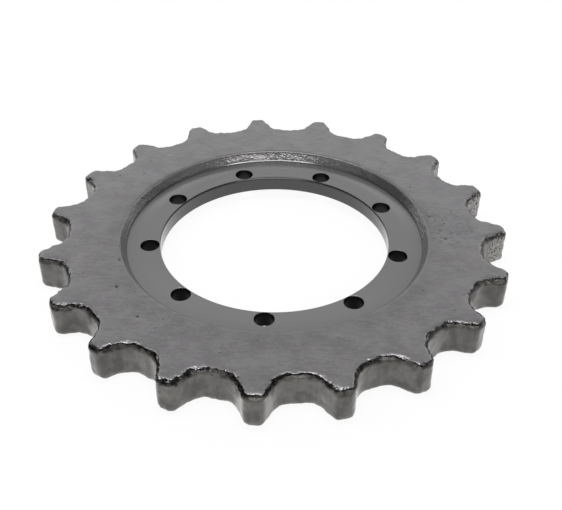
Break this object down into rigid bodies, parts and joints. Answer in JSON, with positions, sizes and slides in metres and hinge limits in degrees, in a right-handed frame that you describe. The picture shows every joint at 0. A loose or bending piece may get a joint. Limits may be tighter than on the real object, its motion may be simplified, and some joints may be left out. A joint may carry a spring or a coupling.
{
  "type": "track drive sprocket",
  "caption": "Cast toothed ring that bolts to a tracked machine's final drive hub and drives the track, with a recessed bolting flange and an open bore.",
  "frame": {"origin": "on the sprocket's axis, in the plane of the rim's back face", "axes": "+Z along the axis towards the front, where the bolt heads sit; one tooth and one bolt hole point along -Y"},
  "size_m": [0.334, 0.3328, 0.0265],
  "materials": {
    "painted_cast_steel": "dark semi-gloss paint over a rough casting, smoother on the machined flange and bore"
  },
  "bodies": {
    "root": {"drive_sprocket": "painted_cast_steel"}
  },
  "joints": []
}
